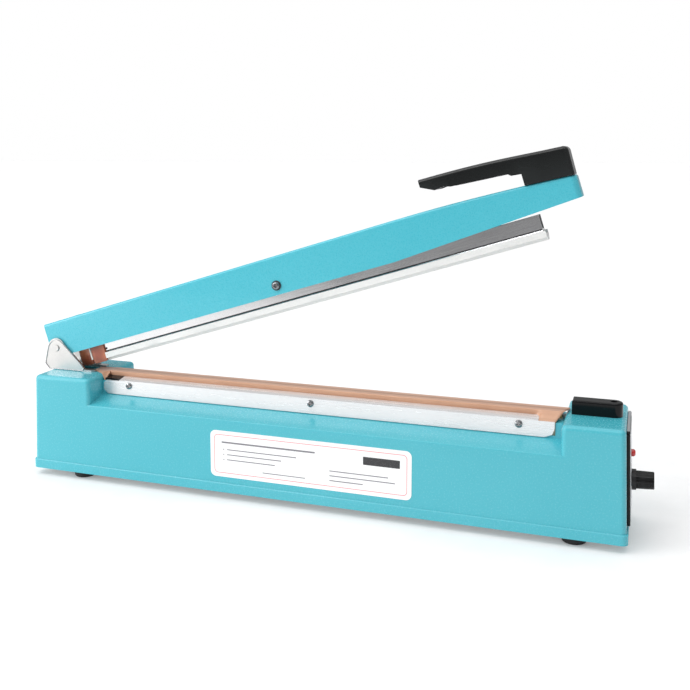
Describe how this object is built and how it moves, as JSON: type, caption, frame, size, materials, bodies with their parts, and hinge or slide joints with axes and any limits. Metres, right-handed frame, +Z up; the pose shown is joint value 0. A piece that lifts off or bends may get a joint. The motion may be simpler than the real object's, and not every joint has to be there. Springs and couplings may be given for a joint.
{
  "type": "impulse heat sealer",
  "caption": "Hand-operated impulse bag sealer: a long painted base with a cloth-covered sealing bed and a hinged pressure arm with a black paddle handle, shown open.",
  "frame": {"origin": "under the middle of the bounding box, on the surface the feet stand on", "axes": "+X from the hinge to the control panel, -Y the labelled front, +Z up"},
  "size_m": [0.5672, 0.0824, 0.3116],
  "materials": {
    "body_paint": "satin teal enamel",
    "arm_paint": "satin teal enamel with a light hammered texture",
    "zinc_steel": "zinc plated",
    "black_rubber": "matte",
    "aluminium": "drawn",
    "ptfe_tan": "coated glass cloth, satin",
    "nichrome": "rolled ribbon",
    "brass": "machined",
    "white_nylon": "moulded",
    "black_plastic": "semi-gloss moulded",
    "stainless": "bright polished stainless",
    "chrome_screw": "nickel plated",
    "bracket_steel": "bright nickel plated",
    "spring_steel": "bright drawn",
    "label_film": "printed film, off-white with a pink border",
    "scale_film": "printed aluminium plate",
    "lamp_red": "translucent red lens",
    "board_green": "solder resist",
    "component_black": "moulded",
    "core_iron": "laminated steel, varnished",
    "coil_wrap": "insulating tape over copper winding",
    "switch_red": "moulded",
    "phenolic": "amber-brown phenolic laminate",
    "handle_plastic": "satin moulded",
    "black_oxide": "black oxide",
    "bar_aluminium": "anodised extrusion",
    "silicone_white": "white silicone",
    "knob_plastic": "moulded, fluted"
  },
  "bodies": {
    "base": {"base_housing": "body_paint", "bottom_plate": "zinc_steel", "rubber_feet": "black_rubber", "foot_screws": "zinc_steel", "sealing_bed": "aluminium", "bed_screws": "zinc_steel", "insulation_strip": "ptfe_tan", "heating_element": "nichrome", "element_terminals": "brass", "terminal_bushes": "white_nylon", "element_insulator": "black_plastic", "ptfe_cloth": "ptfe_tan", "front_clamp_strip": "stainless", "rear_clamp_strip": "stainless", "clamp_screws_front": "chrome_screw", "clamp_screws_rear": "chrome_screw", "hinge_bracket": "bracket_steel", "bracket_screws": "zinc_steel", "hinge_pin": "bracket_steel", "pin_clip": "spring_steel", "torsion_spring": "spring_steel", "guide_block": "black_plastic", "guide_block_screw": "zinc_steel", "front_label": "label_film", "control_panel": "black_plastic", "scale_plate": "scale_film", "lamp_lens": "lamp_red", "lamp_holder": "white_nylon", "potentiometer": "zinc_steel", "pot_nut": "zinc_steel", "timer_board": "board_green", "board_components": "component_black", "board_brackets": "zinc_steel", "transformer_core": "core_iron", "transformer_coil": "coil_wrap", "transformer_strap": "zinc_steel", "transformer_screws": "zinc_steel", "microswitch": "component_black", "switch_bracket": "zinc_steel", "cord_grommet": "black_rubber"},
    "arm": {"arm_channel": "arm_paint", "switch_pusher": "phenolic", "pusher_screw": "zinc_steel", "handle": "handle_plastic", "handle_screws": "zinc_steel", "pivot_bush": "brass", "pivot_washer": "black_oxide", "pivot_screw": "chrome_screw", "pivot_nut": "zinc_steel"},
    "bar": {"pressure_bar": "bar_aluminium", "silicone_strip": "silicone_white", "bar_end_block": "phenolic"},
    "switch_button": {"switch_plunger": "switch_red"},
    "knob": {"timer_knob": "knob_plastic", "timer_shaft": "brass"}
  },
  "joints": [
    {"name": "arm_hinge", "type": "hinge", "parent": "base", "child": "arm", "pos_m": [-0.26797, 0, 0.118], "axis": [0, 1, 0], "range_deg": [0, 15.98], "stiffness_Nm_per_rad": 3, "springref_deg": -68.75},
    {"name": "bar_rock", "type": "hinge", "parent": "arm", "child": "bar", "pos_m": [-0.03637, 0, 0.19023], "axis": [0, 1, 0], "range_deg": [0, 1.47]},
    {"name": "switch_press", "type": "slide", "parent": "base", "child": "switch_button", "axis": [0, 0, -1], "range_m": [0, 0.002]},
    {"name": "timer_turn", "type": "hinge", "parent": "base", "child": "knob", "pos_m": [0.26306, 0, 0.04618], "axis": [0.9994, 0, 0.0349], "range_deg": [-135, 135]}
  ],
  "couplings": [
    {"joint": "bar_rock", "follows": "arm_hinge", "ratio": 0.091637},
    {"joint": "switch_press", "follows": "arm_hinge", "m_per_rad": 0.007137}
  ]
}
